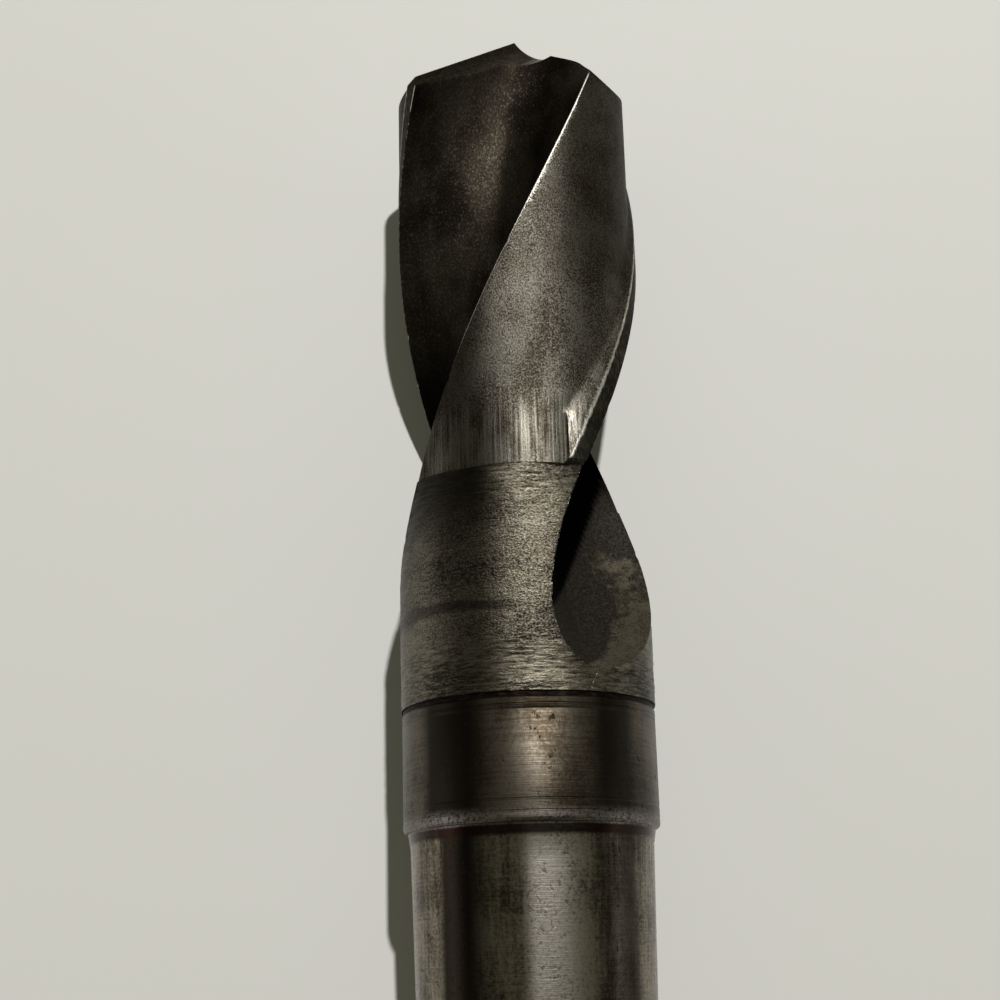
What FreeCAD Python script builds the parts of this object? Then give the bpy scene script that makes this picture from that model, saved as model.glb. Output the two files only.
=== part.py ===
import FreeCAD, Part
import math
import os

from FreeCAD import Placement, Rotation, Vector

# Twist drill bit for metal with a taper shank, in millimetres.
# The drill lies along Y with its point at +Y and its tang at -Y. The origin is on its axis
# at the gauge line of the taper. A station is a distance behind the sharp tip of the point
# cone, and an angle goes round the axis from +Z towards +X.

# Cutting end
drill_diameter = 26.19
back_taper = 0.0006
point_angle = 118.0
helix_angle = 27.0
web_thickness = 4.6
web_growth = 0.018
clearance_diameter = 25.02
margin_width = 1.9
margin_slope = 1.1
land_width = 18.65
ground_length = 52.5
ground_end_ramp = 0.5

# Flutes
flute_full_length = 53.1
cutter_radius = 30.45
flute_bottom_turn = 48.0
face_reaches = (1.0, 0.7, 0.45)
root_pull = 0.42
bottom_pull = 0.21
loft_step = 9.0
run_out_step = 4.0
flute_overrun = 1.5
front_lip_angle = 145.9

# Point grinding
lip_relief = 5.0
flank_flat = 6.5
heel_radius = 8.0
heel_turn_down = 36.0
chisel_turn = 78.0
chisel_overrun = 1.5
gash_radius = 2.5
gash_rake = 24.0
gash_setback = 0.3

# Neck, weld and band
neck_diameter = 25.66
neck_front_diameter = 25.2
neck_full_station = 60.0
weld_station = 75.3
weld_width = 0.5
weld_diameter = 25.2
band_diameter = 25.38
shoulder_station = 87.4
shoulder_chamfer = 0.45
shoulder_length = 1.4

# Self-holding taper, number 3 size
gauge_diameter = 23.825
taper_per_mm = 0.60235 / 12
gauge_from_shoulder = 4.7625
plug_depth = 80.9625
shank_depth = 93.6625
tang_thickness = 7.9375
tang_length = 14.2875
tang_diameter = 18.256
tang_cutter_radius = 7.14375
tang_chamfer = 1.6

# Centre hole in the tang
centre_pilot = 3.15
centre_mouth = 6.4
centre_angle = 60.0
centre_depth = 6.5

# How far cutting shapes reach past the steel
overcut = 2.5

radius = drill_diameter / 2
clearance_radius = clearance_diameter / 2
neck_radius = neck_diameter / 2
lead = math.pi * drill_diameter / math.tan(math.radians(helix_angle))
half_point = math.radians(point_angle / 2)
grinding_reach = 2 * drill_diameter
point_y = shoulder_station + gauge_from_shoulder
land_turn = math.degrees(land_width / clearance_radius)
margin_turn = math.degrees(margin_width / radius)
slope_turn = math.degrees(margin_slope / radius)
AXIS = Vector(0, 1, 0)
ORIGIN = Vector(0, 0, 0)


def at(distance, angle, station):
    """The place at a distance from the axis, an angle round it and a station along it."""
    turn = math.radians(angle)
    return Vector(distance * math.sin(turn), point_y - station, distance * math.cos(turn))


def helix_turn(station):
    """The angle that a helical feature has turned by at a station."""
    return -360 * station / lead


def spun(shape, angle):
    """A copy of a shape turned about the drill's axis."""
    copy = shape.copy()
    copy.rotate(ORIGIN, AXIS, angle)
    return copy


def turned(outline):
    """A solid of revolution from (station, radius) points, closed along the axis."""
    points = [Vector(r, point_y - station, 0) for station, r in outline]
    face = Part.Face(Part.makePolygon(points + points[:1]))
    return face.revolve(ORIGIN, AXIS, 360)


def web_radius(station):
    return (web_thickness + web_growth * station) / 2


def lip_run(distance, web):
    """How far along its lip a point lies, from the middle of the lip's line."""
    return math.sqrt(distance ** 2 - web ** 2)


def face_angle(distance, web):
    """The angle of the flute's face that gives the point a straight lip."""
    across = math.asin(web / distance) - math.asin(web / radius)
    behind = (lip_run(radius, web) - lip_run(distance, web)) / math.tan(half_point)
    return math.degrees(across) + helix_turn(behind)


def cutter_lift(station):
    """How far the milling cutter has risen out of the flute at a station."""
    if station <= flute_full_length:
        return 0.0
    travel = (station - flute_full_length) / math.cos(math.radians(helix_angle))
    return cutter_radius - math.sqrt(cutter_radius ** 2 - travel ** 2)


def run_out_station():
    """Where the cutter's lift has brought it clear of the neck."""
    deepest = cutter_radius - neck_radius + web_radius(flute_full_length)
    travel = math.sqrt(cutter_radius ** 2 - deepest ** 2)
    return flute_full_length + travel * math.cos(math.radians(helix_angle))


def flute_section(station):
    """The closed section of the space that the milling cutter clears at a station."""
    web = web_radius(station)
    outside = radius + overcut
    # The face, from outside the drill down towards the web
    reaches = [outside] + [share * radius for share in face_reaches]
    face = [at(reach, face_angle(reach, web), station) for reach in reaches]
    bottom = at(web, flute_bottom_turn, station)
    # The back of the flute: an arc that touches the web and passes through the heel
    heel_turn = 180 - land_turn
    heel_reach = clearance_radius * math.cos(math.radians(heel_turn - flute_bottom_turn))
    back_radius = (web ** 2 + clearance_radius ** 2 - 2 * web * heel_reach) / (2 * (heel_reach - web))
    centre_reach = web + back_radius
    exit_cosine = (outside ** 2 + centre_reach ** 2 - back_radius ** 2) / (2 * outside * centre_reach)
    back_end_turn = flute_bottom_turn + math.degrees(math.acos(exit_cosine))
    back_end = at(outside, back_end_turn, station)
    centre = at(centre_reach, flute_bottom_turn, station)
    inward = (bottom - centre).normalize()
    across = (back_end - centre).normalize()
    halfway = centre + (inward + across).normalize() * back_radius
    # The face, and a root curve that runs from it into line with the arc at the web
    face_curve = Part.BSplineCurve()
    face_curve.interpolate(face)
    foot = face[-1]
    down = face_curve.tangent(face_curve.LastParameter)[0]
    along_web = at(1, flute_bottom_turn + 90, station) - at(0, 0, station)
    gap = (bottom - foot).Length
    root = Part.BezierCurve()
    root.setPoles([foot, foot + down * root_pull * gap, bottom - along_web * bottom_pull * gap, bottom])
    back = Part.Arc(bottom, halfway, back_end)
    lid_turn = (back_end_turn + face_angle(outside, web)) / 2
    lid = Part.Arc(back_end, at(outside, lid_turn, station), face[0])
    section = Part.Wire([face_curve.toShape(), root.toShape(), back.toShape(), lid.toShape()])
    section.translate(at(cutter_lift(station), heel_turn / 2, station) - at(0, 0, station))
    section.rotate(ORIGIN, AXIS, front_lip_angle + helix_turn(station))
    return section


def stations(start, end, step):
    """Evenly spaced stations from start to end, at most a step apart."""
    count = math.ceil((end - start) / step)
    return [start + (end - start) * i / count for i in range(count + 1)]


def flute_space():
    """What the cutter clears in one pass, from in front of the point to its run-out."""
    full_depth = stations(-overcut, flute_full_length, loft_step)
    run_out = stations(flute_full_length, run_out_station() + flute_overrun, run_out_step)
    return Part.makeLoft([flute_section(s) for s in full_depth + run_out[1:]], True, False)


def clearance_section(station):
    """The section of the thin layer that is ground off a land behind its margin."""
    outside = radius + overcut
    start = -land_turn - math.degrees(overcut / radius)
    step_foot = -margin_turn - slope_turn
    inner_start = at(clearance_radius, start, station)
    inner_middle = at(clearance_radius, (start + step_foot) / 2, station)
    inner_end = at(clearance_radius, step_foot, station)
    step_top = at(radius, -margin_turn, station)
    rim_start = at(outside, -margin_turn, station)
    rim_middle = at(outside, (start - margin_turn) / 2, station)
    rim_end = at(outside, start, station)
    edges = [
        Part.Arc(inner_start, inner_middle, inner_end).toShape(),
        Part.makeLine(inner_end, step_top),
        Part.makeLine(step_top, rim_start),
        Part.Arc(rim_start, rim_middle, rim_end).toShape(),
        Part.makeLine(rim_end, inner_start),
    ]
    section = Part.Wire(edges)
    section.rotate(ORIGIN, AXIS, front_lip_angle + helix_turn(station))
    return section


def clearance_space():
    spread = stations(-overcut, ground_length + ground_end_ramp, loft_step)
    return Part.makeLoft([clearance_section(s) for s in spread], True, False)


def lip_directions():
    """Unit vectors of the front lip: outwards, ahead as the drill turns, along it, square to it."""
    corner_station = lip_run(radius, web_radius(0)) / math.tan(half_point)
    corner_angle = front_lip_angle + helix_turn(corner_station)
    lip_angle = corner_angle - math.degrees(math.asin(web_radius(0) / radius))
    outwards = at(1, lip_angle, point_y)
    ahead = at(1, lip_angle + 90, point_y)
    along = outwards * math.sin(half_point) - AXIS * math.cos(half_point)
    square = outwards * math.cos(half_point) + AXIS * math.sin(half_point)
    return outwards, ahead, along, square


def lip_point(distance):
    """A point of the front lip, at a distance along it from where it passes the axis."""
    _, ahead, along, _ = lip_directions()
    return along * distance + ahead * web_radius(0) + AXIS * point_y


def flank_profile():
    """The face under one ground flank: x behind the lip, z up from the flat part of the flank."""
    reach = grinding_reach
    turn = math.radians(heel_turn_down)

    def rolled(angle):
        away = Vector(math.sin(angle), 0, math.cos(angle) - 1)
        return Vector(flank_flat, 0, 0) + away * heel_radius

    roll_end = rolled(turn)
    heel_end = roll_end + Vector(math.cos(turn), 0, -math.sin(turn)) * reach
    corners = [heel_end, Vector(heel_end.x, 0, -reach), Vector(-reach, 0, -reach), Vector(-reach, 0, 0)]
    edges = [
        Part.makeLine(Vector(-reach, 0, 0), rolled(0)),
        Part.Arc(rolled(0), rolled(turn / 2), roll_end).toShape(),
        Part.makeLine(roll_end, heel_end),
        Part.makePolygon(corners),
    ]
    return Part.Face(Part.Wire(edges))


def flank_waste():
    """The steel that grinding one flank of the point takes off."""
    outwards, ahead, along, square = lip_directions()
    relief = math.radians(lip_relief)
    normal = square * math.cos(relief) - ahead * math.sin(relief)
    back = ahead * -math.cos(relief) - square * math.sin(relief)
    start = lip_point(-grinding_reach)
    kept = flank_profile().extrude(AXIS * 2 * grinding_reach)
    kept.Placement = Placement(FreeCAD.Matrix(
        back.x, along.x, normal.x, start.x,
        back.y, along.y, normal.y, start.y,
        back.z, along.z, normal.z, start.z,
        0, 0, 0, 1))
    # The half of the point that lies behind this lip, to a little past the chisel edge
    chisel = Rotation(AXIS, chisel_turn).multVec(outwards)
    behind = chisel.cross(AXIS)
    corner = Vector(-grinding_reach / 2, -grinding_reach / 2, -chisel_overrun)
    block = Part.makeBox(grinding_reach, grinding_reach, grinding_reach, corner)
    block.Placement = Placement(FreeCAD.Matrix(
        chisel.x, 0, behind.x, 0,
        chisel.y, 1, behind.y, point_y,
        chisel.z, 0, behind.z, 0,
        0, 0, 0, 1))
    return block.cut(kept)


def gash_waste():
    """What a round-edged wheel takes off as it dresses one lip and thins the web beside it."""
    _, ahead, along, square = lip_directions()
    rake = math.radians(gash_rake)
    inwards = ahead * math.cos(rake) - square * math.sin(rake)
    middle = lip_point(0) - ahead * gash_setback + inwards * gash_radius
    return Part.makeCylinder(gash_radius, 2 * grinding_reach, middle - along * grinding_reach, along)


def in_pairs(shape):
    """A shape and its twin on the other side of the axis, for the two flutes and lands."""
    return [shape, spun(shape, 180)]


def fluted_body():
    """High-speed steel: point, lips, margins, lands, flutes and the rough-turned neck."""
    end_radius = radius - back_taper * ground_length / 2
    bar = turned([
        (-overcut, 0),
        (-overcut, radius),
        (ground_length, end_radius),
        (ground_length + ground_end_ramp, neck_front_diameter / 2),
        (neck_full_station, neck_radius),
        (weld_station, neck_radius),
        (weld_station, 0),
    ])
    body = bar
    for waste in [flank_waste(), flute_space(), clearance_space(), gash_waste()]:
        for half in in_pairs(waste):
            body = body.cut(half)
    return body


def weld_seam():
    """The ring of weld metal, turned off just below the surface."""
    ring = weld_diameter / 2
    end = weld_station + weld_width
    return turned([(weld_station, 0), (weld_station, ring), (end, ring), (end, 0)])


def tang_flat_waste():
    """What one side of the tang's milling takes off, with the cutter's round run-out."""
    half = tang_thickness / 2
    flat_start = -shank_depth + tang_length
    far = -shank_depth - overcut
    height = gauge_diameter
    width = gauge_diameter
    slab = Part.makeBox(width, flat_start - far, height, Vector(-width / 2, far, half))
    cutter = Part.makeCylinder(
        tang_cutter_radius, width, Vector(-width / 2, flat_start, half + tang_cutter_radius), Vector(1, 0, 0))
    return slab.fuse(cutter)


def taper_radius(depth):
    """The radius of the taper at a depth behind its gauge line."""
    return (gauge_diameter - taper_per_mm * depth) / 2


def taper_shank():
    """Carbon steel: turned band, shoulder, taper, tang and centre hole."""
    band = band_diameter / 2
    start_y = point_y - weld_station - weld_width
    shoulder_y = gauge_from_shoulder
    chamfer_radius = band - shoulder_chamfer
    foot_y = shoulder_y - shoulder_length
    foot_radius = taper_radius(-foot_y)
    plug_radius = taper_radius(plug_depth)
    tang_radius = tang_diameter / 2
    step_y = -plug_depth - (plug_radius - tang_radius)
    end_y = -shank_depth
    points = [
        Vector(0, start_y, 0),
        Vector(band, start_y, 0),
        Vector(band, shoulder_y, 0),
        Vector(chamfer_radius, shoulder_y - shoulder_chamfer, 0),
        Vector(foot_radius, foot_y, 0),
        Vector(plug_radius, -plug_depth, 0),
        Vector(tang_radius, step_y, 0),
        Vector(tang_radius, end_y + tang_chamfer, 0),
        Vector(tang_radius - tang_chamfer, end_y, 0),
        Vector(0, end_y, 0),
    ]
    shank = Part.Face(Part.makePolygon(points + points[:1])).revolve(ORIGIN, AXIS, 360)
    for waste in in_pairs(tang_flat_waste()) + [centre_hole()]:
        shank = shank.cut(waste)
    return shank


def centre_hole():
    """The 60 degree centre in the end of the tang, with its pilot."""
    end_y = -shank_depth
    mouth = centre_mouth / 2
    pilot = centre_pilot / 2
    cone_depth = (mouth - pilot) / math.tan(math.radians(centre_angle / 2))
    tip_depth = centre_depth + pilot / math.tan(half_point)
    points = [
        Vector(0, end_y, 0),
        Vector(mouth, end_y, 0),
        Vector(pilot, end_y + cone_depth, 0),
        Vector(pilot, end_y + centre_depth, 0),
        Vector(0, end_y + tip_depth, 0),
    ]
    return Part.Face(Part.makePolygon(points + points[:1])).revolve(ORIGIN, AXIS, 360)


def main():
    os.makedirs("parts", exist_ok=True)
    nodes = {
        "fluted_body": fluted_body(),
        "weld_seam": weld_seam(),
        "taper_shank": taper_shank(),
    }
    for name, shape in nodes.items():
        if len(shape.Solids) != 1 or not shape.isValid():
            raise ValueError(f"{name} is not one valid solid")
        shape.exportStep(f"parts/{name}.step")
        print(name, "volume", round(shape.Volume, 1), "faces", len(shape.Faces))


main()
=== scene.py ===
import math

import bmesh
import bpy
from mathutils import Matrix, Vector, noise


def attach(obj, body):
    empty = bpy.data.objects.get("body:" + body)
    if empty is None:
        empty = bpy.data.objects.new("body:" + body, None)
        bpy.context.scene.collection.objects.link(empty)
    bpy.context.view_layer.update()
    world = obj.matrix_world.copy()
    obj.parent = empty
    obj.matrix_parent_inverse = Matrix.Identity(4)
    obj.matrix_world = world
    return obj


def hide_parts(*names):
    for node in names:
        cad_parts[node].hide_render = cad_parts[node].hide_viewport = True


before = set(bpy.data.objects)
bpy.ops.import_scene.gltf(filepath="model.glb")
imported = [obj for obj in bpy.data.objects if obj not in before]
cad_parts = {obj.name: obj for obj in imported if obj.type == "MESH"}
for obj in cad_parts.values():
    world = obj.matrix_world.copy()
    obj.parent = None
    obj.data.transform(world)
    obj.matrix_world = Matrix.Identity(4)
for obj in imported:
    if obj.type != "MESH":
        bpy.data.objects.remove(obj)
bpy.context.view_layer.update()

# The drill lies along Y with its point at +Y, in metres. A station is a distance behind the sharp
# tip of the point cone, and an angle goes round the axis from +Z towards +X, in degrees.
MM = 0.001

# Cutting end
drill_radius = 13.095 * MM
back_taper = 0.0006
half_point = math.radians(59.0)
helix_angle = math.radians(27.0)
web_thickness = 4.6 * MM
web_growth = 0.018
clearance_radius = 12.51 * MM
margin_width = 1.9 * MM
margin_slope = 1.1 * MM
land_width = 18.65 * MM
ground_length = 52.5 * MM
ground_end_ramp = 0.5 * MM
run_out_slope = 2.6 * MM
smallest_slope = 0.1 * MM

# Flutes
flute_full_length = 53.1 * MM
cutter_radius = 30.45 * MM
flute_bottom_turn = 48.0
face_foot_reach = 0.45
root_pull = 0.42
bottom_pull = 0.21
front_lip_angle = 145.9

# Point grinding
lip_relief = math.radians(5.0)
flank_flat = 6.5 * MM
heel_radius = 8.0 * MM
heel_turn_down = math.radians(36.0)
chisel_turn = math.radians(78.0)
chisel_overrun = 1.5 * MM
gash_radius = 2.5 * MM
gash_rake = math.radians(24.0)
gash_setback = 0.3 * MM

# Neck, weld, band and shank
neck_radius = 12.83 * MM
neck_front_radius = 12.6 * MM
neck_full_station = 60.0 * MM
weld_station = 75.3 * MM
weld_width = 0.5 * MM
weld_radius = 12.6 * MM
band_radius = 12.69 * MM
shoulder_station = 87.4 * MM
shoulder_chamfer = 0.45 * MM
shoulder_length = 1.4 * MM
gauge_radius = 11.9125 * MM
taper_slope = 0.60235 / 24
gauge_from_shoulder = 4.7625 * MM
plug_depth = 80.9625 * MM
shank_depth = 93.6625 * MM
tang_half_thickness = 3.96875 * MM
tang_length = 14.2875 * MM
tang_radius = 9.128 * MM
tang_cutter_radius = 7.14375 * MM
tang_edge_radius = 1.98 * MM
tang_overcut = 2 * MM
centre_pilot = 1.575 * MM
centre_mouth = 3.2 * MM
centre_depth = 6.5 * MM
centre_half_angle = math.radians(30.0)

# Turned lines round the band: each one's place along Y, depth and half width
band_grooves = [
    (15.62 * MM, 0.07 * MM, 0.13 * MM),
    (15.15 * MM, 0.03 * MM, 0.1 * MM),
    (6.85 * MM, 0.05 * MM, 0.12 * MM),
    (5.75 * MM, 0.05 * MM, 0.12 * MM),
]
groove_floor = 0.35
band_front_fall, band_front_run = 0.1 * MM, 0.12 * MM
shank_foot_rise, shank_foot_run = 0.12 * MM, 0.15 * MM
tang_shoulder_run = 0.75 * MM

# Wear. Each pair is the stations between which something comes in, or goes out again.
edge_rounding = 0.1 * MM
heel_rounding = 0.14 * MM
heel_rounding_out = (36 * MM, 22 * MM)
margin_wear_depth = 0.47 * MM
margin_wear_in = (4 * MM, 14 * MM)
margin_wear_out = (52 * MM, 44 * MM)
slope_widening = (37 * MM, 47 * MM)
heel_shine_in = (5 * MM, 10 * MM)
heel_shine_out = (46 * MM, 38 * MM)
heel_side_shine_in = (8 * MM, 14 * MM)
heel_side_shine_out = (30 * MM, 24 * MM)
lip_shine_end = 11 * MM
front_lip_shine = 0.9
back_lip_shine = 0.45
least_heel_shine = 0.1
heel_side_shine = 0.6
margin_shine = 0.85

# The flutes' ends: the border of the scuffed side, in degrees from the lip, which goes round the
# deep middle from a station on, and the border of the painted shadow that the deep wall casts
scuff_middle = 59.5 * MM
scuff_border = 94.0
scuff_blur = 15.0
deep_wall_at = (4.44 * MM, 30.24 * MM)
deep_wall_lean = 0.37
deep_wall_blur = 0.175 * MM
deep_wall_in = (34 * MM, 46 * MM)

# Nicks in the edges: each one's station and half width
heel_nick_depth = 0.28 * MM
heel_nicks = [
    (29.5 * MM, 0.6 * MM), (13.2 * MM, 0.35 * MM), (58.4 * MM, 0.5 * MM),
    (20.1 * MM, 0.25 * MM), (43.2 * MM, 0.9 * MM), (11.0 * MM, 0.2 * MM),
]
lip_nick_depth = 0.25 * MM
lip_nicks = [
    (5.8 * MM, 0.3 * MM), (7.6 * MM, 0.4 * MM), (46.2 * MM, 0.5 * MM),
    (49.8 * MM, 0.4 * MM), (33.0 * MM, 0.3 * MM), (26.5 * MM, 0.25 * MM),
]
ragged_depth = 0.05 * MM

# Torn marks of the neck's rough turning
scar_depth = 0.075 * MM
scar_skin = 0.01 * MM
scar_level = 0.55
scars_round = 5.5
scars_per_mm = 2.4
scar_wave = 0.8
lightest_scars = 0.35
weld_scars_in = (69.5 * MM, 71.5 * MM)
worst_scars = 1.3
worst_scars_station = 54.5 * MM
worst_scars_fade = 4 * MM

# Camera, which looks down on the drill as the photograph does
camera_target = Vector((-2.2942, 39.0747, 0)) * MM
camera_distance = 173.9647 * MM
camera_turn = math.radians(1.4382)
camera_tilt = math.radians(73.8508)
camera_lens = 59.866

# How finely the meshes are drawn
FACE_POINTS = 40
ROOT_POINTS = 26
BACK_POINTS = 60
FLUTE_POINTS = 46
LAND_POINTS = 26
SLOPE_POINTS = 4
MARGIN_POINTS = 4
CORNER_POINTS = 5
GROUND_RINGS = 104
STEP_RINGS = 5
NECK_RINGS = 150
CONE_RINGS = 40
SHANK_STEPS = 160
HEEL_POINTS = 19
WHEEL_SEGMENTS = 96
TANG_RUN_OUT_POINTS = 13
TANG_EDGE_POINTS = 7
SHOULDER_POINTS = 6

# The first ring is in front of the point's tip, and rings stand off the end of the ground length by
# gaps. A wall stands off the land, and a closed flute is open, by a small turn in degrees.
ring_lead = 2.5 * MM
gap_before_step = 0.25 * MM
gap_after_step = 0.15 * MM
WALL_TURN = 0.4
CLOSED_TURN = 0.5

# Folds that stay sharp, in degrees
BODY_FOLD = 32
SHANK_FOLD = 28

# Where the heel's corner, the land and the margin begin in half of the fluted body's outline
HEEL_PLACE = CORNER_POINTS + FLUTE_POINTS - 3
LAND_PLACE = HEEL_PLACE + CORNER_POINTS
MARGIN_PLACE = LAND_PLACE + LAND_POINTS - 2 + SLOPE_POINTS

# Colours that more than one finish has, or that say what they are
DARK_OXIDE = (0.009, 0.0065, 0.004)
BROWN_OXIDE = (0.022, 0.017, 0.011)
# Painted shade and dark reflection, for a side turned away from the lamp
SHADED_SIDE = (0.012, 0.009, 0.005)
WORN_STEEL = (0.095, 0.088, 0.072)
BARE_STEEL = (0.75, 0.72, 0.64)

lead = 2 * math.pi * drill_radius / math.tan(helix_angle)
point_y = shoulder_station + gauge_from_shoulder
land_turn = math.degrees(land_width / clearance_radius)
margin_turn = math.degrees(margin_width / drill_radius)
heel_turn = 180 - land_turn
web_at_run_out = (web_thickness + web_growth * flute_full_length) / 2
run_out_depth = cutter_radius - neck_radius + web_at_run_out
run_out_travel = math.sqrt(cutter_radius ** 2 - run_out_depth ** 2)
flute_end = flute_full_length + run_out_travel * math.cos(helix_angle)
grinding_reach = 4 * drill_radius
flute_reach = 1.1 * drill_radius
neck_start = ground_length + ground_end_ramp
AXIS = Vector((0, 1, 0))


def polar(reach, angle):
    """A point of a section, in the plane across the drill."""
    return Vector((reach * math.sin(math.radians(angle)), reach * math.cos(math.radians(angle))))


def placed(point, turn, station):
    """A section's point, turned about the axis and put at its station."""
    c, s = math.cos(math.radians(turn)), math.sin(math.radians(turn))
    return Vector((point.x * c + point.y * s, point_y - station, point.y * c - point.x * s))


def spread(start, end, count):
    """So many evenly spaced numbers, from start to end."""
    return [start + (end - start) * i / (count - 1) for i in range(count)]


def ramp(value, low, high):
    """Goes from 0 to 1, and no further, as a value goes from low to high."""
    return min(1.0, max(0.0, (value - low) / (high - low)))


def helix_turn(station):
    """The angle that the helix has turned by at a station."""
    return -360 * station / lead


def web_radius(station):
    """Half the web's thickness, which grows towards the shank."""
    return (web_thickness + web_growth * station) / 2


def lip_run(reach, web):
    """How far out along its lip a place at this reach lies."""
    return math.sqrt(reach ** 2 - web ** 2)


def face_angle(reach, web):
    """The angle of the flute's face that gives the point a straight lip."""
    across = math.asin(web / reach) - math.asin(web / drill_radius)
    behind = (lip_run(drill_radius, web) - lip_run(reach, web)) / math.tan(half_point)
    return math.degrees(across) + helix_turn(behind)


def cutter_lift(station):
    """How far the milling cutter has risen out of the flute at a station."""
    if station <= flute_full_length:
        return 0.0
    travel = (station - flute_full_length) / math.cos(helix_angle)
    return cutter_radius - math.sqrt(cutter_radius ** 2 - travel ** 2)


def flute_line(station):
    """The flute's line in a section, from outside the lip's corner round to outside the heel."""
    web = web_radius(station)
    face_foot = face_foot_reach * drill_radius
    face = [polar(r, face_angle(r, web)) for r in spread(flute_reach, face_foot, FACE_POINTS)]
    bottom = polar(web, flute_bottom_turn)
    foot = face[-1]
    gap = (bottom - foot).length
    down = (face[-1] - face[-2]).normalized()
    along_web = polar(1, flute_bottom_turn + 90)
    poles = [foot, foot + down * root_pull * gap, bottom - along_web * bottom_pull * gap, bottom]
    root = []
    for t in spread(0, 1, ROOT_POINTS)[1:]:
        u = 1 - t
        shares = (u ** 3, 3 * u * u * t, 3 * u * t * t, t ** 3)
        root.append(sum((pole * share for pole, share in zip(poles, shares)), Vector((0, 0))))
    heel_reach = clearance_radius * math.cos(math.radians(heel_turn - flute_bottom_turn))
    back_radius = (web ** 2 + clearance_radius ** 2 - 2 * web * heel_reach) / (2 * (heel_reach - web))
    reach = web + back_radius
    centre = polar(reach, flute_bottom_turn)
    start = flute_bottom_turn + 180
    cosine = (reach ** 2 + back_radius ** 2 - flute_reach ** 2) / (2 * reach * back_radius)
    sweep = math.degrees(math.acos(cosine))
    back = [centre + polar(back_radius, start - sweep * t) for t in spread(0, 1, BACK_POINTS)[1:]]
    lift = polar(cutter_lift(station), heel_turn / 2)
    return [p + lift for p in face + root + back]


def full_slope(station):
    """How wide the whole slope behind a margin is: it flattens out near the ground length's end."""
    return margin_slope + (run_out_slope - margin_slope) * ramp(station, *slope_widening)


def slope_width(station):
    """How much of the slope is left where its foot is cut off by a line straight along the drill."""
    left = (ground_length - station) * clearance_radius * 2 * math.pi / lead
    return min(full_slope(station), max(smallest_slope, left))


def rim_radius(station):
    """The steel's outer radius, outside the flutes, where nothing is ground off behind a margin."""
    if station < ground_length:
        return drill_radius - back_taper * station / 2
    if station < neck_start:
        share = (station - ground_length) / ground_end_ramp
        return drill_radius + (neck_front_radius - drill_radius) * share
    share = min(1.0, (station - ground_length) / (neck_full_station - ground_length))
    return neck_front_radius + (neck_radius - neck_front_radius) * share


def crossing(line, reach, first, step):
    """Where a flute's line comes in through a circle, and the index of the first point inside."""
    i = first
    while line[i].length > reach:
        i += step
        if not 0 <= i < len(line):
            return None, None
    a, b = line[i - step], line[i]
    share = (a.length - reach) / (a.length - b.length)
    return a.lerp(b, share), i


def resampled(points, count):
    """The same line with evenly spaced points."""
    runs = [0.0]
    for a, b in zip(points, points[1:]):
        runs.append(runs[-1] + (b - a).length)
    result = []
    i = 0
    for run in spread(0, runs[-1], count):
        while i < len(runs) - 2 and runs[i + 1] < run:
            i += 1
        span = runs[i + 1] - runs[i]
        result.append(points[i].lerp(points[i + 1], (run - runs[i]) / span if span else 0))
    return result


def margin_wear(station):
    """How far the margin behind the back lip is worn down."""
    return margin_wear_depth * ramp(station, *margin_wear_in) * ramp(station, *margin_wear_out)


def section_half(station, rim, next_rim):
    """Half of the fluted section: across one flute and over the land behind it to the next lip."""
    back_rim = clearance_radius if station < neck_start else rim
    line = flute_line(station)
    lip, first = crossing(line, rim, 0, 1)
    heel, last = crossing(line, back_rim, len(line) - 1, -1)
    next_lip, _ = crossing(line, next_rim, 0, 1)
    if lip is None or heel is None or last <= first + 1:
        lip_at, heel_at = heel_turn / 2 - CLOSED_TURN, heel_turn / 2 + CLOSED_TURN
        lip = next_lip = polar(rim, lip_at)
        heel = polar(rim, heel_at)
        flute = [polar(rim, a) for a in spread(lip_at, heel_at, FLUTE_POINTS)]
    else:
        flute = resampled([lip] + line[first:last + 1] + [heel], FLUTE_POINTS)
    end = 180 + math.degrees(math.atan2(next_lip.x, next_lip.y))
    heel_at = math.degrees(math.atan2(heel.x, heel.y))
    step_top = end - margin_turn
    slope_turn = math.degrees(slope_width(station) / drill_radius)
    step_foot = step_top - slope_turn
    foot_reach = next_rim + (back_rim - next_rim) * slope_width(station) / full_slope(station)
    land = [polar(back_rim, a) for a in spread(heel_at, step_foot - WALL_TURN, LAND_POINTS)[1:]]
    slope = []
    for share in spread(0, 1, SLOPE_POINTS):
        reach = foot_reach + (next_rim - foot_reach) * share
        slope.append(polar(reach, step_foot + slope_turn * share))
    margin = [polar(next_rim, a) for a in spread(step_top, end, MARGIN_POINTS + 1)[1:-1]]
    return flute, land + slope + margin


def softened(before, corner, after, reach):
    """The points that round off a sharp corner between its two neighbours."""
    a = corner + (before - corner).normalized() * min(reach, (before - corner).length / 2)
    b = corner + (after - corner).normalized() * min(reach, (after - corner).length / 2)
    shares = spread(0, 1, CORNER_POINTS)
    return [a * (1 - t) ** 2 + corner * 2 * t * (1 - t) + b * t ** 2 for t in shares]


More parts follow.
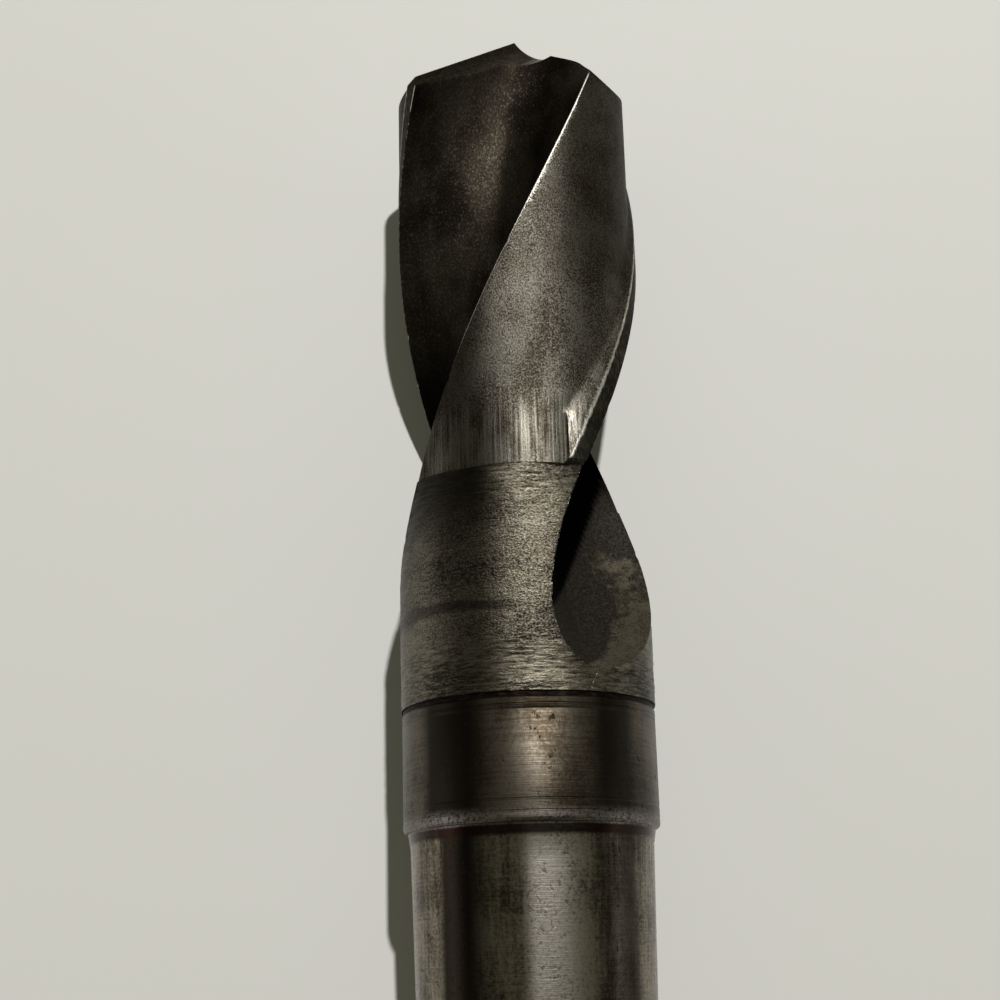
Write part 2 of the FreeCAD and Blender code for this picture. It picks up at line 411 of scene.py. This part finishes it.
def ring_points(station, heel_nick, lip_nick):
    """The fluted body's outline at a station, its edges slightly rounded, and half its length."""
    rim = rim_radius(station)
    worn = rim - margin_wear(station)
    front_flute, front_land = section_half(station, rim, worn)
    back_flute, back_land = section_half(station, worn, rim)
    turn = front_lip_angle + helix_turn(station)
    lip_edge = edge_rounding + lip_nick
    heel_edge = edge_rounding + heel_nick + heel_rounding * ramp(station, *heel_rounding_out)
    points = []
    for flute, land, last_land, side in (
            (front_flute, front_land, back_land, 1), (back_flute, back_land, front_land, -1)):
        outline = softened(-last_land[-1], flute[0], flute[1], lip_edge)
        outline += flute[1:-2]
        outline += softened(flute[-3], flute[-1], land[1], heel_edge)
        outline += land[1:]
        points += [placed(p * side, turn, station) for p in outline]
    return points, len(points) // 2


def ring_stations():
    """Where the fluted body's rings are, from in front of the ground point to the weld."""
    front = spread(-ring_lead, ground_length - gap_before_step, GROUND_RINGS)
    step = spread(ground_length, neck_start, STEP_RINGS)
    neck = spread(neck_start + gap_after_step, weld_station, NECK_RINGS)
    return front + step + neck


def nick(station, places, depth):
    """How much more of an edge is broken away near the listed stations."""
    return max(depth * ramp(abs(station - where), wide, 0) for where, wide in places)


def turning_scars(point, station):
    """The rough-turned neck's torn marks: how far a point of it stands in."""
    turn = math.atan2(point.x, point.z)
    around = Vector((math.cos(turn), math.sin(turn), 0)) * scars_round
    wave = noise.noise(around * 0.35 + Vector((0, 0, station / MM * 0.2))) * scar_wave
    along = Vector((0, 0, (station / MM + wave) * scars_per_mm))
    torn = noise.fractal(around + along, 0.7, 2.1, 3)
    near_weld = lightest_scars + (1 - lightest_scars) * ramp(station, *weld_scars_in)
    near_worst = worst_scars - abs(station - worst_scars_station) / worst_scars_fade
    return (torn - scar_level) * scar_depth * max(near_weld, near_worst)


ZONES = ["flute", "land", "margin", "neck"]


def zone(place, station):
    """Which of the zones' finishes the skin has at a place in the half outline."""
    if place < LAND_PLACE - 2 and station < flute_end:
        return ZONES.index("flute")
    if station > neck_start:
        return ZONES.index("neck")
    if place < MARGIN_PLACE - 1:
        return ZONES.index("land")
    return ZONES.index("margin")


def edge_wear(place, station):
    """How much the skin is rubbed bright at a place: along the lips, the heels and the margins."""
    if station > flute_end:
        return 0.0
    if HEEL_PLACE < place < LAND_PLACE - 1:
        shine = max(least_heel_shine, ramp(station, *heel_shine_in))
        return min(shine, ramp(station, *heel_shine_out))
    if place == LAND_PLACE - 1:
        shine = min(ramp(station, *heel_side_shine_in), ramp(station, *heel_side_shine_out))
        return heel_side_shine * shine
    if 0 < place < CORNER_POINTS - 1:
        return front_lip_shine if station < lip_shine_end else back_lip_shine
    return margin_shine if place == MARGIN_PLACE - 1 and station < ground_length else 0.0


def run_out_scuffs(point, station, half_turn):
    """How much the scale is scuffed off the heel side of a flute's run-out."""
    angle = math.degrees(math.atan2(point.x, point.z)) - front_lip_angle - helix_turn(station)
    from_lip = (angle - half_turn + 180) % 360 - 180
    past = (station - scuff_middle) / MM
    border = scuff_border - past * (4 if past < 0 else 0.28 * past)
    return ramp(from_lip, border - scuff_blur, border + scuff_blur)


def painted_wall_shadow(point, station, side):
    """How much a place lies in the painted shadow that the deep wall of a flute's end casts."""
    border = deep_wall_at[0] + (point.y - deep_wall_at[1]) * deep_wall_lean
    inside = border - point.x * side
    return ramp(inside, -deep_wall_blur, deep_wall_blur) * ramp(station, *deep_wall_in)


def fluted_body():
    """Point, lips, margins, lands, flutes and neck: one skin, ring by ring down the helix."""
    bm = bmesh.new()
    wear = bm.verts.layers.float.new("wear")
    scuffed = bm.verts.layers.float.new("scuffed")
    # Painted shadow of each flute's deep wall, which the flute's finish makes nearly black
    wall_shadow = bm.verts.layers.float.new("wall_shadow")
    ring = []
    for station in ring_stations():
        ragged = ragged_depth * max(0.0, noise.noise(Vector((station / MM * 1.7, 3.1, 0))))
        heel_nick = ragged + nick(station, heel_nicks, heel_nick_depth)
        lip_nick = ragged + nick(station, lip_nicks, lip_nick_depth)
        points, half = ring_points(station, heel_nick, lip_nick)
        if not ring:
            ring = bmesh.ops.create_circle(bm, segments=len(points), radius=drill_radius)["verts"]
            front = ring
        else:
            edges = [bm.edges.get((a, b)) for a, b in zip(ring, ring[1:] + ring[:1])]
            made = bmesh.ops.extrude_edge_only(bm, edges=edges)["geom"]
            new = {v for v in made if isinstance(v, bmesh.types.BMVert)}
            ring = [next(e.other_vert(v) for e in v.link_edges if e.other_vert(v) in new) for v in ring]
            for i, (a, b) in enumerate(zip(ring, ring[1:] + ring[:1])):
                bm.edges.get((a, b)).link_faces[0].material_index = zone(i % half, station)
        rough = station > neck_start
        for i, (vert, point) in enumerate(zip(ring, points)):
            out = Vector((point.x, 0, point.z))
            if rough and out.length > rim_radius(station) - scar_skin:
                point = point + out.normalized() * min(0, turning_scars(point, station))
            vert.co = point
            vert[wear] = edge_wear(i % half, station)
            vert[scuffed] = run_out_scuffs(point, station, i // half * 180)
            vert[wall_shadow] = painted_wall_shadow(point, station, 1 if i < half else -1)
    bm.faces.new(ring)
    bm.faces.new(list(reversed(front)))
    bmesh.ops.recalc_face_normals(bm, faces=bm.faces)
    return bm


def pushed_out(bm, outline, way):
    """Adds a solid to a shape, by pushing a flat outline out along a way."""
    face = bm.faces.new([bm.verts.new(place) for place in outline])
    made = bmesh.ops.extrude_face_region(bm, geom=[face])["geom"]
    moved = [v for v in made if isinstance(v, bmesh.types.BMVert)]
    bmesh.ops.translate(bm, verts=moved, vec=way)


def lip_directions():
    """Unit vectors of the front lip: outwards, ahead as the drill turns, along it, square to it."""
    web = web_radius(0)
    corner_station = lip_run(drill_radius, web) / math.tan(half_point)
    corner_angle = front_lip_angle + helix_turn(corner_station)
    lip_angle = math.radians(corner_angle) - math.asin(web / drill_radius)
    outwards = Vector((math.sin(lip_angle), 0, math.cos(lip_angle)))
    ahead = Vector((math.cos(lip_angle), 0, -math.sin(lip_angle)))
    along = outwards * math.sin(half_point) - AXIS * math.cos(half_point)
    square = outwards * math.cos(half_point) + AXIS * math.sin(half_point)
    return outwards, ahead, along, square


def flank_waste():
    """The steel that grinding one flank of the point takes off."""
    outwards, ahead, along, square = lip_directions()
    normal = square * math.cos(lip_relief) - ahead * math.sin(lip_relief)
    back = ahead * -math.cos(lip_relief) - square * math.sin(lip_relief)
    start = ahead * web_radius(0) + AXIS * point_y - along * grinding_reach
    profile = [(-grinding_reach, 0), (flank_flat, 0)]
    for turn in spread(0, heel_turn_down, HEEL_POINTS)[1:]:
        down = heel_radius * (1 - math.cos(turn))
        profile.append((flank_flat + heel_radius * math.sin(turn), -down))
    end_x = profile[-1][0] + grinding_reach * math.cos(heel_turn_down)
    profile.append((end_x, profile[-1][1] - grinding_reach * math.sin(heel_turn_down)))
    profile += [(end_x, grinding_reach), (-grinding_reach, grinding_reach)]
    bm = bmesh.new()
    pushed_out(bm, [start + back * x + normal * z for x, z in profile], along * 2 * grinding_reach)
    chisel = Matrix.Rotation(chisel_turn, 3, AXIS) @ outwards
    behind = chisel.cross(AXIS)
    cut = bmesh.ops.bisect_plane(
        bm, geom=bm.verts[:] + bm.edges[:] + bm.faces[:], plane_co=behind * -chisel_overrun,
        plane_no=behind, clear_inner=True)
    edges = [e for e in cut["geom_cut"] if isinstance(e, bmesh.types.BMEdge)]
    bmesh.ops.contextual_create(bm, geom=edges)
    bmesh.ops.recalc_face_normals(bm, faces=bm.faces)
    return bm


def gash_waste():
    """What the round-edged wheel takes off as it dresses one lip and thins the web beside it."""
    _, ahead, along, square = lip_directions()
    inwards = ahead * math.cos(gash_rake) - square * math.sin(gash_rake)
    middle = ahead * (web_radius(0) - gash_setback) + AXIS * point_y + inwards * gash_radius
    bm = bmesh.new()
    bmesh.ops.create_cone(
        bm, cap_ends=True, segments=WHEEL_SEGMENTS, radius1=gash_radius, radius2=gash_radius,
        depth=2 * grinding_reach)
    turn = along.to_track_quat("Z", "Y").to_matrix().to_4x4()
    bmesh.ops.transform(bm, matrix=Matrix.Translation(middle) @ turn, verts=bm.verts)
    return bm


def made_object(bm, name, materials):
    """Puts a finished shape into the scene under its name."""
    mesh = bpy.data.meshes.new(name)
    bm.to_mesh(mesh)
    bm.free()
    for material in materials:
        mesh.materials.append(material)
    made = bpy.data.objects.new(name, mesh)
    bpy.context.scene.collection.objects.link(made)
    return made


def cut_away(piece, cutters):
    """Takes the cutters' shapes out of a piece, and then removes the cutters."""
    for cutter in cutters:
        boolean = piece.modifiers.new(cutter.name, "BOOLEAN")
        boolean.operation = "DIFFERENCE"
        boolean.solver = "MANIFOLD"
        boolean.object = cutter
        boolean.material_mode = "TRANSFER"
    bpy.context.view_layer.update()
    graph = bpy.context.evaluated_depsgraph_get()
    mesh = bpy.data.meshes.new_from_object(piece.evaluated_get(graph))
    piece.modifiers.clear()
    piece.data = mesh
    for cutter in cutters:
        bpy.data.objects.remove(cutter)


def rounded_edge(end_y, edge_radius, rounding, count):
    """The turned profile of a rounded back edge."""
    edge = []
    for turn in spread(0, math.pi / 2, count):
        place = end_y + rounding * (1 - math.sin(turn))
        edge.append((place, edge_radius - rounding * (1 - math.cos(turn))))
    return edge


def band_and_taper_profile():
    """The shank's outline from its weld to its tang: each place along Y, with its radius."""
    start_y = point_y - weld_station - weld_width
    foot_y = gauge_from_shoulder - shoulder_length
    end_y = -shank_depth
    profile = [
        (start_y, 0), (start_y, band_radius - band_front_fall), (start_y - band_front_run, band_radius)]
    for y, depth, wide in band_grooves:
        floor = wide * groove_floor
        profile += [
            (y + wide, band_radius), (y + floor, band_radius - depth),
            (y - floor, band_radius - depth), (y - wide, band_radius)]
    profile += rounded_edge(gauge_from_shoulder, band_radius, shoulder_chamfer, SHOULDER_POINTS)
    profile.append((foot_y + shank_foot_run, gauge_radius + shank_foot_rise))
    for y in spread(foot_y, -plug_depth, CONE_RINGS):
        profile.append((y, gauge_radius + taper_slope * y))
    profile.append((-plug_depth - tang_shoulder_run, tang_radius))
    profile += rounded_edge(end_y, tang_radius, tang_edge_radius, TANG_EDGE_POINTS)
    cone_depth = (centre_mouth - centre_pilot) / math.tan(centre_half_angle)
    hole_y = end_y + centre_depth
    profile += [(end_y, centre_mouth), (end_y + cone_depth, centre_pilot), (hole_y, centre_pilot)]
    profile.append((hole_y + centre_pilot / math.tan(half_point), 0))
    return profile


def taper_shank():
    """The band, the shoulder, the taper and the tang, turned in one piece."""
    bm = bmesh.new()
    verts = [bm.verts.new((0, y, radius)) for y, radius in band_and_taper_profile()]
    edges = [bm.edges.new(pair) for pair in zip(verts, verts[1:])]
    bmesh.ops.spin(
        bm, geom=verts + edges, axis=AXIS, cent=(0, 0, 0), steps=SHANK_STEPS, angle=2 * math.pi,
        use_merge=True)
    bmesh.ops.remove_doubles(bm, verts=bm.verts, dist=0.001 * MM)
    bmesh.ops.recalc_face_normals(bm, faces=bm.faces)
    return bm


def tang_flat_waste():
    """What one side of the tang's milling takes off, with the cutter's round run-out."""
    flat_start = -shank_depth + tang_length
    clear_y = -shank_depth - tang_overcut
    outline = [(clear_y, tang_half_thickness), (flat_start, tang_half_thickness)]
    for turn in spread(0, math.pi / 2, TANG_RUN_OUT_POINTS)[1:]:
        rise = tang_cutter_radius * (1 - math.cos(turn))
        outline.append((flat_start + tang_cutter_radius * math.sin(turn), tang_half_thickness + rise))
    top = tang_half_thickness + tang_cutter_radius + drill_radius
    outline += [(outline[-1][0], top), (clear_y, top)]
    bm = bmesh.new()
    pushed_out(bm, [(-drill_radius, y, z) for y, z in outline], (2 * drill_radius, 0, 0))
    bmesh.ops.recalc_face_normals(bm, faces=bm.faces)
    return bm


def half_turned(bm):
    """A copy of a shape for the drill's other side."""
    twin = bm.copy()
    bmesh.ops.rotate(twin, cent=(0, 0, 0), matrix=Matrix.Rotation(math.pi, 3, AXIS), verts=twin.verts)
    return twin


def add_camera():
    """The camera, aimed at its target along its turn and tilt."""
    view = Vector((
        math.sin(camera_turn) * math.cos(camera_tilt),
        math.cos(camera_turn) * math.cos(camera_tilt),
        -math.sin(camera_tilt)))
    right = Vector((math.cos(camera_turn), -math.sin(camera_turn), 0))
    up = right.cross(view)
    camera = bpy.data.objects.new("camera", bpy.data.cameras.new("camera"))
    camera.data.sensor_width = 36
    camera.data.lens = camera_lens
    camera.data.clip_start = 0.01
    turn = Matrix((right, up, -view)).transposed().to_4x4()
    camera.matrix_world = Matrix.Translation(camera_target - view * camera_distance) @ turn
    bpy.context.scene.collection.objects.link(camera)
    bpy.context.scene.camera = camera


class Value:
    """A number that varies over a surface: sums and products with it add Math nodes."""

    def __init__(self, finish, socket):
        self.finish = finish
        self.socket = socket

    def __add__(self, other):
        return self.finish.sum("ADD", self, other)

    def __sub__(self, other):
        return self.finish.sum("SUBTRACT", self, other)

    def __rsub__(self, other):
        return self.finish.sum("SUBTRACT", other, self)

    def __mul__(self, other):
        return self.finish.sum("MULTIPLY", self, other)

    __radd__ = __add__
    __rmul__ = __mul__


class Finish:
    """A material on Object coordinates, in millimetres."""

    def __init__(self, name):
        self.material = bpy.data.materials.new(name)
        self.material.use_nodes = True
        self.tree = self.material.node_tree
        self.shader = self.tree.nodes["Principled BSDF"]
        place = self.node("ShaderNodeTexCoord", {}, {}, "Object")
        self.place = self.node(
            "ShaderNodeVectorMath", {"operation": "SCALE"}, {0: place, "Scale": 1 / MM})
        self.across = self.node("ShaderNodeSeparateXYZ", {}, {0: self.place}, "X")
        self.along = self.node("ShaderNodeSeparateXYZ", {}, {0: self.place}, "Y")

    def node(self, kind, settings, inputs, output=0):
        """Adds a shader node, whose inputs are values, numbers or colours, and gives its output."""
        made = self.tree.nodes.new(kind)
        for key, value in settings.items():
            setattr(made, key, value)
        for key, value in inputs.items():
            if isinstance(value, Value):
                self.tree.links.new(value.socket, made.inputs[key])
            else:
                made.inputs[key].default_value = value
        return Value(self, made.outputs[output])

    def sum(self, operation, a, b):
        """Adds, subtracts or multiplies two values."""
        return self.node("ShaderNodeMath", {"operation": operation}, {0: a, 1: b})

    def grain(self, stretch, detail=3.0, rough=0.55, shift=0.0):
        """Noise with so many lumps to a millimetre across, along and up the drill."""
        place = self.node(
            "ShaderNodeVectorMath", {"operation": "MULTIPLY_ADD"},
            {0: self.place, 1: stretch, 2: (shift, shift, shift)})
        return self.node(
            "ShaderNodeTexNoise", {},
            {"Vector": place, "Scale": 1.0, "Detail": detail, "Roughness": rough})

    def painted(self, name):
        """A value that the mesh carries from point to point."""
        return self.node("ShaderNodeAttribute", {"attribute_name": name}, {}, "Fac")

    def step(self, value, low, high, start=0.0, end=1.0):
        """Goes smoothly from start to end as the value goes from low to high."""
        return self.node(
            "ShaderNodeMapRange", {"interpolation_type": "SMOOTHSTEP"},
            {"Value": value, "From Min": low, "From Max": high, "To Min": start, "To Max": end})

    def blend(self, share, a, b):
        """Goes from one colour to the other as the share goes from 0 to 1."""
        colours = [c if isinstance(c, Value) else (*c, 1) for c in (a, b)]
        return self.node(
            "ShaderNodeMix", {"data_type": "RGBA"}, {0: share, 6: colours[0], 7: colours[1]}, 2)

    def relief(self, height, depth):
        """Bumps of a height from 0 to 1, so many millimetres deep."""
        bumps = {"Strength": 1.0, "Distance": depth * MM, "Height": height}
        self.feed("Normal", self.node("ShaderNodeBump", {}, bumps))

    def skin(self, colour, rough, grain):
        """Dull oxide that stays dark at a glance, with smooth bare steel where the edges are worn."""
        bare = self.step(self.painted("wear") * 0.6 + grain * 0.8, 0.62, 1.0)
        self.feed("Base Color", self.blend(bare, colour, BARE_STEEL))
        self.feed("Roughness", rough * (1 - bare) + bare * 0.4)
        self.feed("Metallic", 1.0)
        self.feed("Specular Tint", (0.5, 0.5, 0.5, 1))

    def feed(self, name, value):
        """Gives one of the shader's inputs a value or a constant."""
        if isinstance(value, Value):
            self.tree.links.new(value.socket, self.shader.inputs[name])
        else:
            self.shader.inputs[name].default_value = value


def flute_scale():
    """Brown-black scale in the flutes, worn to specks of steel."""
    finish = Finish("flute_scale")
    grain = finish.grain((4.4, 3.0, 4.4), 4, 0.65)
    patches = finish.grain((0.16, 0.1, 0.16), 3, 0.6, 7)
    ragged = finish.grain((0.9, 0.9, 0.9), 4, 0.65, 22)
    specks = finish.step(grain + patches * 0.35, 0.66, 0.92)
    in_patch = finish.step(patches, 0.35, 0.65)
    tint = finish.blend(in_patch, (0.008, 0.006, 0.004), (0.025, 0.02, 0.014))
    on_grain = finish.step(grain, 0.35, 0.65)
    milled = finish.blend(on_grain, (0.022, 0.019, 0.016), (0.052, 0.046, 0.037))
    tint = finish.blend(finish.step(finish.along, 45.0, 38.0), tint, milled)
    scuffed = finish.step(finish.painted("scuffed") * 0.65 + ragged * 0.35, 0.43, 0.53)
    in_scuff = finish.step(grain + ragged * 0.5, 0.55, 0.95)
    rubbed = finish.blend(in_scuff, (0.06, 0.05, 0.034), (0.16, 0.142, 0.103))
    tint = finish.blend(scuffed, tint, rubbed)
    colour = finish.blend(specks * 0.55, tint, (0.085, 0.077, 0.061))
    # Painted shade deep in the front flute's lower left, darkened nearly to black
    deep_flute_shade = finish.step(finish.along, 64.0, 52.0) * finish.step(finish.across, -4.0, -7.0)
    colour = finish.blend(deep_flute_shade * 0.85, colour, (0.002, 0.0016, 0.001))
    # Painted shadow of the deep wall at a flute's end, nearly black
    colour = finish.blend(finish.painted("wall_shadow"), colour, (0.001, 0.0008, 0.0006))
    finish.skin(colour, 0.54 - specks * 0.1, grain)
    finish.relief(grain, 0.05)
    return finish.material


def land_steel():
    """Worn lands: bright grains in brown oxide, with grinding streaks along them near the neck."""
    finish = Finish("land_steel")
    grain = finish.grain((6.0, 5.0, 6.0), 4, 0.7)
    patches = finish.grain((0.3, 0.18, 0.3), 3, 0.6, 3)
    streaks = finish.grain((3.4, 0.1, 3.4), 3, 0.6, 11)
    near_neck = finish.step(finish.along, 48.5, 43.0)
    mark = grain * (1 - near_neck * 0.6) + streaks * (near_neck * 0.6)
    bright = finish.step(mark + patches * 0.3, 0.54, 0.8)
    tint = finish.blend(finish.step(patches, 0.4, 0.65), BROWN_OXIDE, (0.034, 0.029, 0.021))
    colour = finish.blend(bright, tint, WORN_STEEL)
    # Painted highlight: grains brighter on the land's right side, where the lamp's highlight falls
    painted_sheen = finish.step(finish.across, 1.5, 4.0) * finish.step(finish.along, 63.0, 57.0)
    colour = finish.blend(painted_sheen * bright * 0.5, colour, (0.19, 0.175, 0.145))
    # Painted shade: the land's left side darker, away from the lamp's highlight
    shaded_left = finish.step(finish.across, -3.0, -6.5) * finish.step(finish.along, 58.0, 54.0)
    colour = finish.blend(shaded_left * 0.55, colour, SHADED_SIDE)
    colour = finish.blend(near_neck * bright * 0.5, colour, (0.16, 0.148, 0.122))
    finish.skin(colour, 0.45 - bright * 0.08 - near_neck * 0.05, grain)
    finish.relief(mark, 0.05)
    return finish.material


def margin_steel():
    """The margins: a plain ground skin, brighter on its grains."""
    finish = Finish("margin_steel")
    grain = finish.grain((3.5, 1.2, 3.5), 4, 0.7, 5)
    patches = finish.grain((0.4, 0.3, 0.4), 2, 0.5, 1)
    bright = finish.step(grain + patches * 0.3, 0.55, 0.85)
    colour = finish.blend(bright, (0.025, 0.022, 0.016), (0.075, 0.07, 0.057))
    finish.skin(colour, 0.44 - bright * 0.08, grain)
    finish.relief(grain, 0.03)
    return finish.material


def neck_steel():
    """Rough-turned neck: torn marks round it, bright on their crests and brown in their bottoms."""
    finish = Finish("neck_steel")
    torn = finish.grain((0.8, 5.0, 0.8), 4, 0.65, 2)
    grain = finish.grain((4.4, 7.0, 4.4), 3, 0.6, 9)
    patches = finish.grain((0.16, 0.2, 0.16), 3, 0.5, 4)
    rough = finish.step(finish.along, 23.0, 20.5) + finish.step(finish.along, 34.0, 38.0) * 0.6
    mark = torn * (0.3 + rough * 0.35) + grain * (0.7 - rough * 0.35)
    bright = finish.step(mark + patches * 0.25, 0.5, 0.8)
    tint = finish.blend(finish.step(patches, 0.4, 0.62), DARK_OXIDE, (0.03, 0.023, 0.014))
    colour = finish.blend(bright, tint, (0.17, 0.154, 0.119))
    # Painted shade and dark reflection in a strip along the neck's left side, a dark patch behind the
    # left land, and a wavy stain round the neck in front of its roughest marks
    neck_dark_side = finish.step(finish.across, -10.5, -8.0) * finish.step(finish.across, -1.5, -5.0)
    colour = finish.blend(neck_dark_side * 0.5, colour, SHADED_SIDE)
    shade = finish.step(finish.across, -1.0, -5.5) * finish.step(finish.along, 29.0, 37.5)
    wave = finish.along + finish.grain((0.12, 0.3, 0.12), 2, 0.5, 17) * 3.0
    stain = finish.step(wave, 26.2, 26.7) * finish.step(wave, 27.7, 27.2)
    stain = stain * finish.step(finish.across, 1.5, -3.0)
    colour = finish.blend(shade * 0.85 + stain * 0.65, colour, (0.006, 0.0045, 0.0025))
    finish.feed("Base Color", colour)
    finish.feed("Metallic", 1.0)
    finish.feed("Roughness", 0.44 - bright * 0.08)
    finish.relief(mark, 0.09)
    return finish.material


def ground_steel():
    """The reground point: fine wheel marks under a thin brown film."""
    finish = Finish("ground_steel")
    wheel = finish.grain((0.8, 5.0, 5.0), 3, 0.6, 6)
    patches = finish.grain((0.35, 0.35, 0.35), 3, 0.5, 8)
    film = finish.step(wheel + patches * 0.5, 0.5, 0.95)
    finish.feed("Base Color", finish.blend(film, (0.026, 0.02, 0.014), (0.065, 0.057, 0.044)))
    finish.feed("Metallic", 1.0)
    finish.feed("Roughness", finish.step(patches, 0.3, 0.7, 0.46, 0.36))
    finish.relief(wheel, 0.02)
    return finish.material


def turned_steel():
    """Band and taper: turning lines round it, streaks along it, pits, a dark red-brown foot, and
    painted highlight and painted dark reflections.
    """
    finish = Finish("turned_steel")
    fine_lines = finish.grain((0.3, 15.0, 0.3), 2, 0.6, 1)
    lines = finish.grain((0.2, 5.0, 0.2), 3, 0.6, 40)
    streaks = finish.grain((2.2, 0.16, 2.2), 3, 0.6, 12)
    grain = finish.grain((3.2, 3.6, 3.2), 4, 0.65, 30)
    pits = finish.grain((1.7, 1.3, 1.7), 3, 0.6, 15)
    patches = finish.grain((0.22, 0.12, 0.22), 3, 0.55, 20)
    band = finish.step(finish.along, 4.5, 4.8)
    mark = lines * (0.2 + band * 0.2) + streaks * (0.35 - band * 0.25)
    mark = mark + grain * (0.45 + band * 0.05)
    # The strips along the taper: a painted highlight in the middle, also rougher, and a painted dark
    # reflection on each side
    sheen_strip = finish.step(finish.across, -1.6, 0.0) * finish.step(finish.across, 6.4, 2.0)
    sheen_strip = sheen_strip * (1 - band)
    dark_reflection_left = finish.step(finish.across + band * 1.2, -9.4, -8.3)
    dark_reflection_left = dark_reflection_left * finish.step(finish.across, -3.4, -6.4)
    dark_reflection_right = finish.step(finish.across, 5.0, 7.0) * finish.step(finish.across, 10.2, 9.0)
    # The dark foot under the shoulder, and the band's back edge, which is rubbed bright
    foot = finish.step(finish.along, 3.5, 3.9) * (1 - band)
    rubbed = finish.step(finish.along, 6.4, 5.2) * band * finish.step(grain, 0.3, 0.6)
    pitted = finish.step(pits - patches * 0.25 + sheen_strip * 0.07, 0.48, 0.6)
    bright = finish.step(mark + patches * 0.5 + sheen_strip * 0.08, 0.62, 0.92)
    in_patch = finish.step(patches, 0.4, 0.65)
    tint = finish.blend(in_patch, (0.045, 0.034, 0.022), (0.085, 0.067, 0.047))
    colour = finish.blend(bright * (1 - band * 0.5), tint, (0.27, 0.24, 0.19))
    # Painted highlight: the middle strip's grains brightened towards bare steel
    painted_sheen = sheen_strip * finish.step(grain + patches * 0.4, 0.5, 0.8, 0.16, 0.68)
    colour = finish.blend(painted_sheen, colour, (0.56, 0.52, 0.47))
    colour = finish.blend(pitted * 0.75, colour, DARK_OXIDE)
    colour = finish.blend(band * 0.5, colour, DARK_OXIDE)
    colour = finish.blend(dark_reflection_left + dark_reflection_right * 0.85, colour, (0.011, 0.0085, 0.0055))
    colour = finish.blend(foot * 0.9, colour, (0.014, 0.006, 0.004))
    colour = finish.blend(rubbed * 0.6, colour, (0.27, 0.24, 0.22))
    finish.feed("Base Color", colour)
    finish.feed("Metallic", 1.0)
    rough = 0.29 + pitted * 0.15 - bright * 0.05 + band * 0.12 + sheen_strip * 0.07
    finish.feed("Roughness", rough)
    finish.relief(fine_lines * 0.85 + grain * 0.25 - pitted * 0.4, 0.011)
    return finish.material


def weld_metal():
    """The weld's dull, nearly black ring."""
    finish = Finish("weld_metal")
    grain = finish.grain((1.2, 4.0, 1.2), 4, 0.7, 3)
    on_grain = finish.step(grain, 0.45, 0.75)
    finish.feed("Base Color", finish.blend(on_grain, (0.006, 0.004, 0.003), (0.03, 0.025, 0.018)))
    finish.feed("Metallic", 1.0)
    finish.feed("Roughness", 0.6)
    finish.relief(grain, 0.06)
    return finish.material


def table_paint():
    """Off-white paint, faintly mottled."""
    finish = Finish("table_paint")
    mottle = finish.grain((0.02, 0.02, 0.02), 3, 0.5)
    finish.feed("Base Color", finish.blend(mottle, (0.61, 0.6, 0.56), (0.63, 0.62, 0.58)))
    finish.feed("Roughness", 0.65)
    return finish.material


def finished(piece, node, sharp):
    """Smooths a piece between its edges and puts it in the place of its CAD node."""
    piece.data.shade_smooth()
    piece.data.set_sharp_from_angle(angle=math.radians(sharp))
    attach(piece, "root")
    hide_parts(node)


def cutter_pair(shape, name, finish):
    """A cutter and its twin for the drill's other side."""
    twin = half_turned(shape)
    return [made_object(shape, name, [finish]), made_object(twin, name + "_back", [finish])]


def build():
    """The drill: the fluted body, the shank and the weld between them."""
    ground = ground_steel()
    worn = turned_steel()
    finishes = {
        "flute": flute_scale(), "land": land_steel(), "margin": margin_steel(), "neck": neck_steel()}
    body = made_object(fluted_body(), "fluted_steel", [finishes[name] for name in ZONES])
    grinding = cutter_pair(flank_waste(), "flank", ground) + cutter_pair(gash_waste(), "gash", ground)
    cut_away(body, grinding)
    finished(body, "fluted_body", BODY_FOLD)
    shank = made_object(taper_shank(), "shank", [worn])
    cut_away(shank, cutter_pair(tang_flat_waste(), "flat", worn))
    finished(shank, "taper_shank", SHANK_FOLD)
    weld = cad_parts["weld_seam"]
    weld.data.materials.clear()
    weld.data.materials.append(weld_metal())


def add_floor():
    """The table that the drill lies on."""
    bm = bmesh.new()
    bmesh.ops.create_grid(bm, x_segments=1, y_segments=1, size=1.5)
    bmesh.ops.translate(bm, verts=bm.verts, vec=(0, 0, -drill_radius))
    made_object(bm, "table", [table_paint()])


def add_lamp(name, place, aim, wide, high, watts):
    """A flat lamp at a place, turned to its aim."""
    lamp = bpy.data.lights.new(name, "AREA")
    lamp.shape = "RECTANGLE"
    lamp.size = wide
    lamp.size_y = high
    lamp.energy = watts
    holder = bpy.data.objects.new(name, lamp)
    holder.location = place
    holder.rotation_euler = (Vector(aim) - Vector(place)).to_track_quat("-Z", "Y").to_euler()
    bpy.context.scene.collection.objects.link(holder)


def add_lights():
    """The lamp overhead, the dim room, and two lit walls that the steel's sides mirror."""
    world = bpy.data.worlds.new("room")
    bpy.context.scene.world = world
    world.use_nodes = True
    background = world.node_tree.nodes["Background"]
    background.inputs["Color"].default_value = (1.0, 1.0, 0.72, 1)
    background.inputs["Strength"].default_value = 0.13
    add_lamp("overhead", (0.208, 0.73, 1.24), (0, 0.03, 0), 0.036, 0.036, 20.0)
    add_lamp("left_wall", (-0.5, -0.05, 0.06), (0, 0, 0), 0.45, 0.09, 0.4)
    add_lamp("right_wall", (0.5, -0.06, 0.07), (0, 0, 0), 0.18, 0.12, 0.12)


build()
add_floor()
add_lights()
add_camera()
bpy.context.scene.view_settings.view_transform = "Standard"
